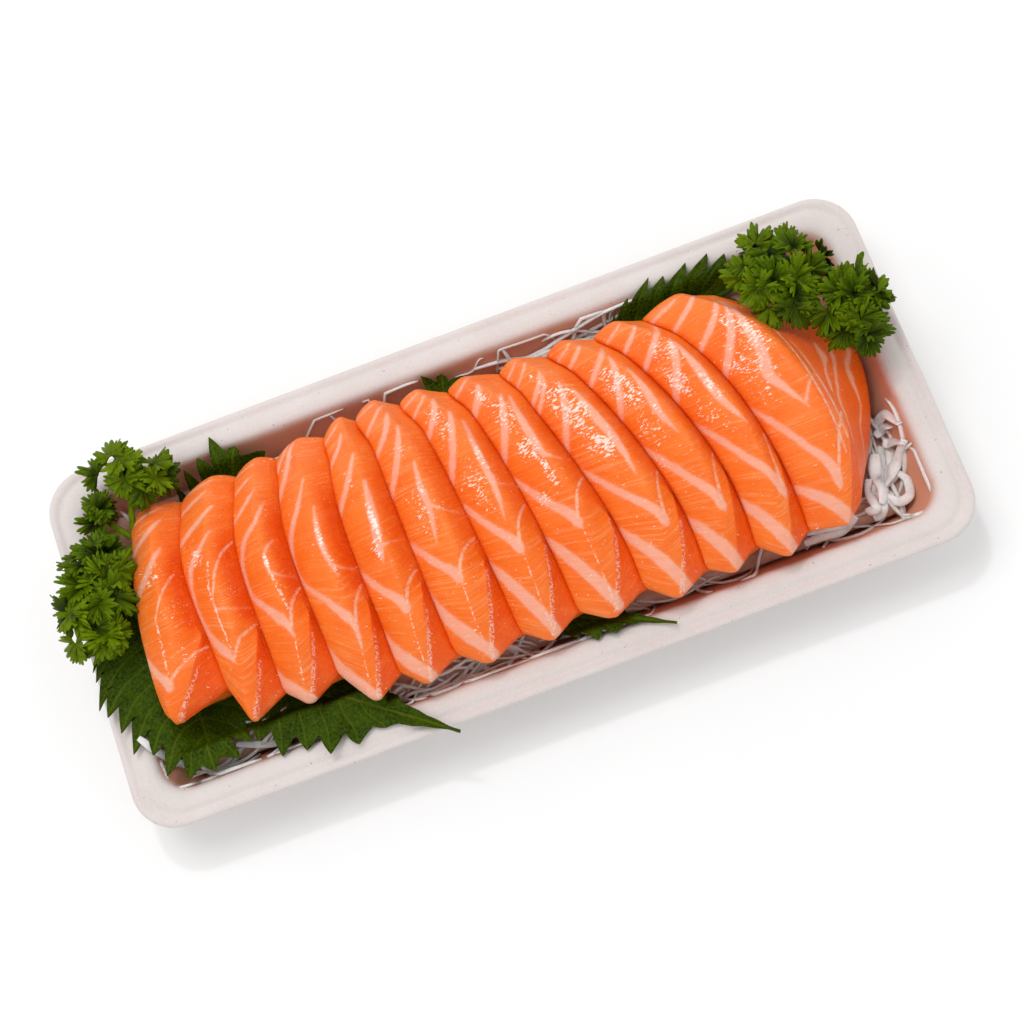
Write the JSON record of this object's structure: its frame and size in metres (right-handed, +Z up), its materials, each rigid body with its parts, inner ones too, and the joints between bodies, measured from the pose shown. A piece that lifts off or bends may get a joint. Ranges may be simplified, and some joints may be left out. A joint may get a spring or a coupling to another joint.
{
  "type": "salmon sashimi tray",
  "caption": "Long moulded-fibre tray with a row of thick overlapping salmon sashimi slices on shredded daikon, with shiso leaves and curly parsley.",
  "frame": {"origin": "middle of the tray's flat underside, which rests on the table", "axes": "+X along the row towards the last slice, +Y to the tray's far long side, +Z up"},
  "size_m": [0.2451, 0.11, 0.046],
  "materials": {
    "tray": "matt moulded fibre",
    "salmon": "moist raw salmon with pale fat lines",
    "daikon": "moist translucent white shreds",
    "shiso": "fresh leaf, slightly glossy",
    "parsley": "fresh curly leaf"
  },
  "bodies": {
    "root": {"tray": "tray", "salmon_slice_01": "salmon", "salmon_slice_02": "salmon", "salmon_slice_03": "salmon", "salmon_slice_04": "salmon", "salmon_slice_05": "salmon", "salmon_slice_06": "salmon", "salmon_slice_07": "salmon", "salmon_slice_08": "salmon", "salmon_slice_09": "salmon", "salmon_slice_10": "salmon", "salmon_slice_11": "salmon", "salmon_slice_12": "salmon", "shiso_leaf_1": "shiso", "shiso_leaf_2": "shiso", "shiso_leaf_3": "shiso", "shiso_leaf_4": "shiso", "shiso_leaf_5": "shiso", "shiso_leaf_6": "shiso", "parsley_left_stalk": "parsley", "parsley_left_middle": "parsley", "parsley_left": "parsley", "parsley_right_inner": "parsley", "parsley_right_outer": "parsley", "daikon_bed": "daikon"}
  },
  "joints": []
}
